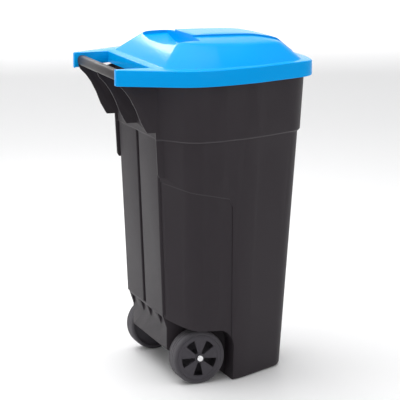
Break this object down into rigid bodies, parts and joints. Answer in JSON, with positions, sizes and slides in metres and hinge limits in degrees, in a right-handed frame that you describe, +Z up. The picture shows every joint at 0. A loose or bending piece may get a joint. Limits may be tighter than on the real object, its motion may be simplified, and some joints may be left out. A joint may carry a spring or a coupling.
{
  "type": "wheelie bin",
  "caption": "Tall tapered household refuse bin with a domed hinged lid, a rear handle bar and wheels on a steel axle.",
  "frame": {"origin": "on the floor, under the middle of the closed bin's box", "axes": "+Z up; +Y towards the handle and wheels at the rear; +X across, towards the left of a person who pushes it"},
  "size_m": [0.524, 0.56, 0.885],
  "materials": {
    "tub_plastic": "fine grained satin, charcoal grey",
    "bar_plastic": "smooth satin, charcoal grey",
    "lid_plastic": "satin, sky blue",
    "wheel_plastic": "fine grained satin, dark grey",
    "tyre_rubber": "matt, dark grey",
    "bush_nylon": "smooth, dark grey",
    "axle_steel": "drawn, zinc plated",
    "cap_chrome": "bright plated"
  },
  "bodies": {
    "bin": {"tub": "tub_plastic", "handle_bar": "bar_plastic", "axle": "axle_steel", "hinge_plug_left": "bar_plastic", "hinge_plug_right": "bar_plastic", "axle_washer_left": "axle_steel", "axle_washer_right": "axle_steel", "axle_cap_left": "cap_chrome", "axle_cap_right": "cap_chrome"},
    "lid": {"lid": "lid_plastic"},
    "wheel_left": {"wheel_rim_left": "wheel_plastic", "tyre_left": "tyre_rubber", "wheel_bush_left": "bush_nylon"},
    "wheel_right": {"wheel_rim_right": "wheel_plastic", "tyre_right": "tyre_rubber", "wheel_bush_right": "bush_nylon"}
  },
  "joints": [
    {"name": "lid_hinge", "type": "hinge", "parent": "bin", "child": "lid", "pos_m": [0, 0.26, 0.8], "axis": [-1, 0, 0], "range_deg": [0, 265]},
    {"name": "wheel_left_spin", "type": "hinge", "parent": "bin", "child": "wheel_left", "pos_m": [0.165, 0.063, 0.07], "axis": [1, 0, 0], "continuous": true},
    {"name": "wheel_right_spin", "type": "hinge", "parent": "bin", "child": "wheel_right", "pos_m": [-0.165, 0.063, 0.07], "axis": [1, 0, 0], "continuous": true}
  ]
}
